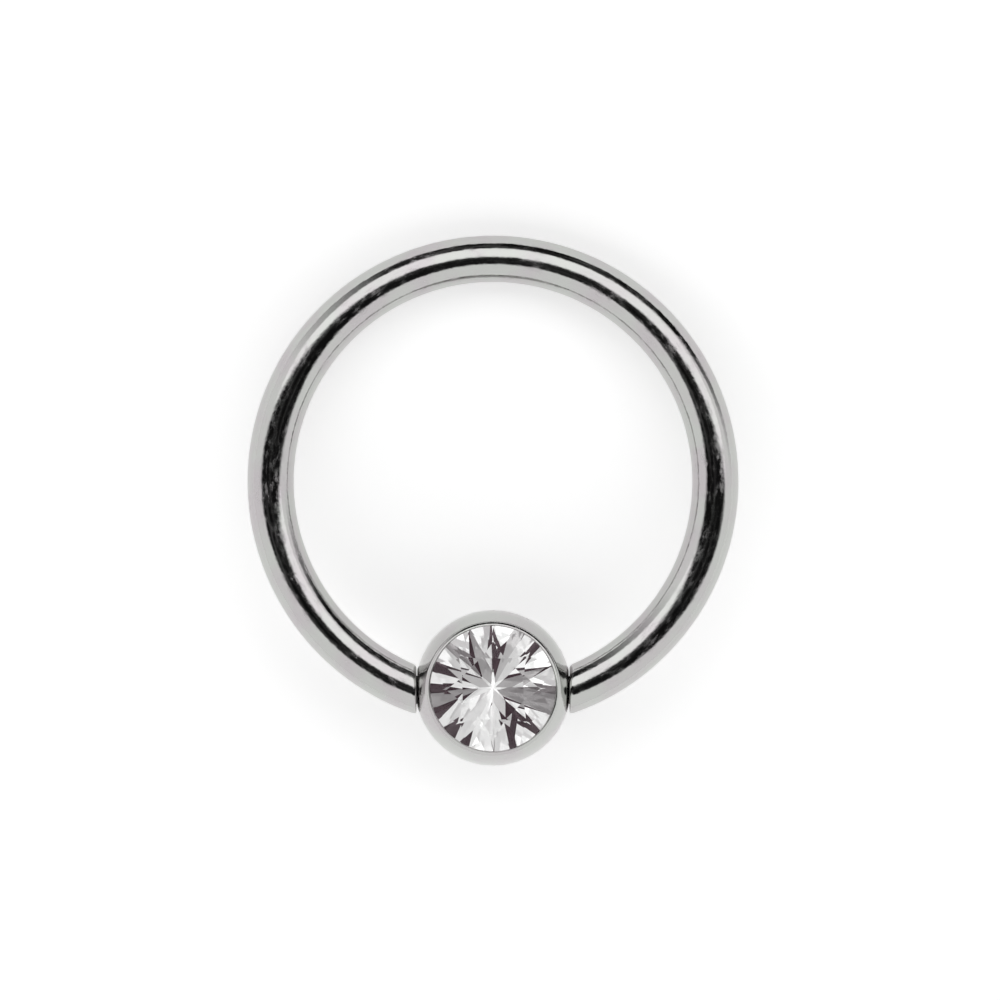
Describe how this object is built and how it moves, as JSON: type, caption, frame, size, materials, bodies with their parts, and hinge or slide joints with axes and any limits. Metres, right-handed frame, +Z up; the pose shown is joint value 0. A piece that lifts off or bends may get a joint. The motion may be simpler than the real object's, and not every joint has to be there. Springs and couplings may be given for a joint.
{
  "type": "captive bead ring",
  "caption": "Open polished steel wire ring whose ends press into a round bead set with a clear cut stone; the bead turns between the ends.",
  "frame": {"origin": "on the surface that the ring lies on, under the middle of its outline", "axes": "+Z up, +X along the line between the wire ends, +Y from the bead to the far side of the ring"},
  "size_m": [0.0126, 0.0135, 0.0037],
  "materials": {
    "ring_steel": "mirror-polished surgical steel",
    "bead_steel": "polished surgical steel with a faint satin grain",
    "clear_stone": "clear cut stone with a bright foil behind its pavilion"
  },
  "bodies": {
    "ring": {"ring": "ring_steel"},
    "bead": {"bead": "bead_steel", "stone": "clear_stone"}
  },
  "joints": [
    {"name": "bead_spin", "type": "hinge", "parent": "ring", "child": "bead", "pos_m": [0, -0.00475, 0.002], "axis": [1, 0, 0], "continuous": true}
  ]
}
